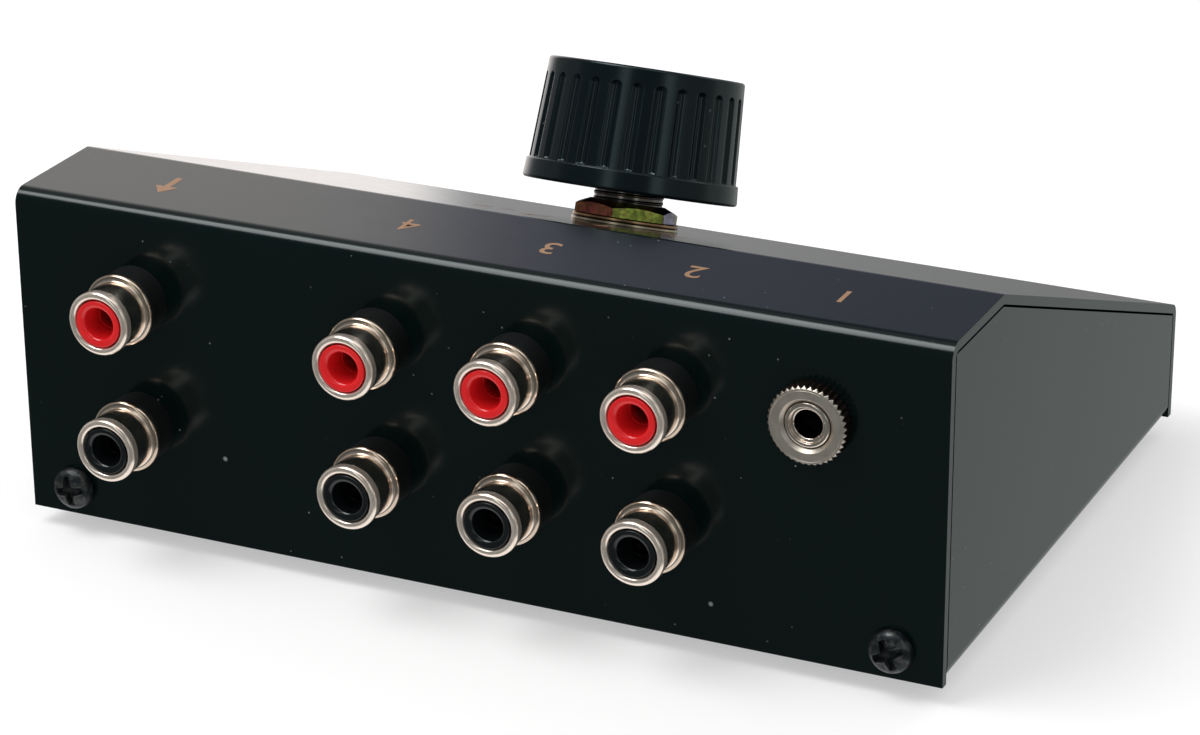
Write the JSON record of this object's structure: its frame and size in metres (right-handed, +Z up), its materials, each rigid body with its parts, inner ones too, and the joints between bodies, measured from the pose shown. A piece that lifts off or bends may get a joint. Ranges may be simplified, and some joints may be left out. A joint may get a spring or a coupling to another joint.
{
  "type": "source selector switch",
  "caption": "Wedge-shaped folded steel selector box: paired phono sockets and a 3.5 mm socket on the rear, a fluted rotary knob on the sloping top.",
  "frame": {"origin": "centre of the whole footprint, on the plane of the feet", "axes": "+X to the user's right, -Y towards the user's side, +Y out of the socket panel, +Z up"},
  "size_m": [0.125, 0.0992, 0.0581],
  "materials": {
    "case_paint": "semi-gloss black powder coat",
    "foot_rubber": "matt",
    "screw_black": "black oxide, satin",
    "socket_nickel": "polished nickel plate",
    "core_red": "gloss",
    "core_black": "gloss",
    "collar_black": "matt",
    "contact_tin": "bright tin plate",
    "zinc_steel": "bright zinc plate",
    "turned_nickel": "turned, satin nickel plate",
    "socket_moulding": "matt",
    "yellow_chromate": "yellow iridescent chromate",
    "shaft_steel": "ground",
    "switch_moulding": "matt",
    "rotor_moulding": "matt",
    "wafer_board": "pressed phenolic board",
    "silver_contact": "silver plate",
    "knob_gloss": "gloss",
    "pointer_paint": "filled line",
    "insert_brass": "turned"
  },
  "bodies": {
    "enclosure": {"cover": "case_paint", "base": "case_paint", "rear_case_screws": "screw_black", "front_case_screws": "screw_black", "rubber_feet": "foot_rubber", "output_red_shell": "socket_nickel", "output_red_core": "core_red", "output_red_contact": "contact_tin", "output_black_shell": "socket_nickel", "output_black_core": "core_black", "output_black_contact": "contact_tin", "input_4_red_shell": "socket_nickel", "input_4_red_core": "core_red", "input_4_red_contact": "contact_tin", "input_4_black_shell": "socket_nickel", "input_4_black_core": "core_black", "input_4_black_contact": "contact_tin", "input_3_red_shell": "socket_nickel", "input_3_red_core": "core_red", "input_3_red_contact": "contact_tin", "input_3_black_shell": "socket_nickel", "input_3_black_core": "core_black", "input_3_black_contact": "contact_tin", "input_2_red_shell": "socket_nickel", "input_2_red_core": "core_red", "input_2_red_contact": "contact_tin", "input_2_black_shell": "socket_nickel", "input_2_black_core": "core_black", "input_2_black_contact": "contact_tin", "socket_collars": "collar_black", "socket_back_washers": "collar_black", "socket_ground_lugs": "contact_tin", "socket_nuts": "zinc_steel", "mini_socket_nut": "turned_nickel", "mini_socket_bushing": "socket_nickel", "mini_socket_body": "socket_moulding", "mini_socket_tip_spring": "silver_contact", "mini_socket_ring_spring": "silver_contact", "switch_bushing": "zinc_steel", "switch_housing": "switch_moulding", "switch_wafer": "wafer_board", "switch_terminals": "silver_contact", "switch_cap": "switch_moulding", "switch_rivets": "zinc_steel", "switch_nut": "yellow_chromate", "switch_lock_washer": "yellow_chromate", "switch_flat_washer": "yellow_chromate"},
    "selector": {"switch_shaft": "shaft_steel", "shaft_clip": "zinc_steel", "switch_rotor": "rotor_moulding", "contact_carrier": "rotor_moulding", "switch_wipers": "silver_contact", "detent_spring": "shaft_steel", "knob_body": "knob_gloss", "knob_insert": "insert_brass", "knob_set_screw": "screw_black", "knob_pointer": "pointer_paint"},
    "index_ball": {"detent_ball": "shaft_steel"}
  },
  "joints": [
    {"name": "selector_turn", "type": "hinge", "parent": "enclosure", "child": "selector", "pos_m": [0, -0.00659, 0.03452], "axis": [0, 0.3634, -0.9316], "range_deg": [0, 90]},
    {"name": "index_ball_slide", "type": "slide", "parent": "selector", "child": "index_ball", "axis": [1, 0, 0], "range_m": [0, 0.00035], "stiffness_N_per_m": 600, "springref_m": 0.00035}
  ]
}
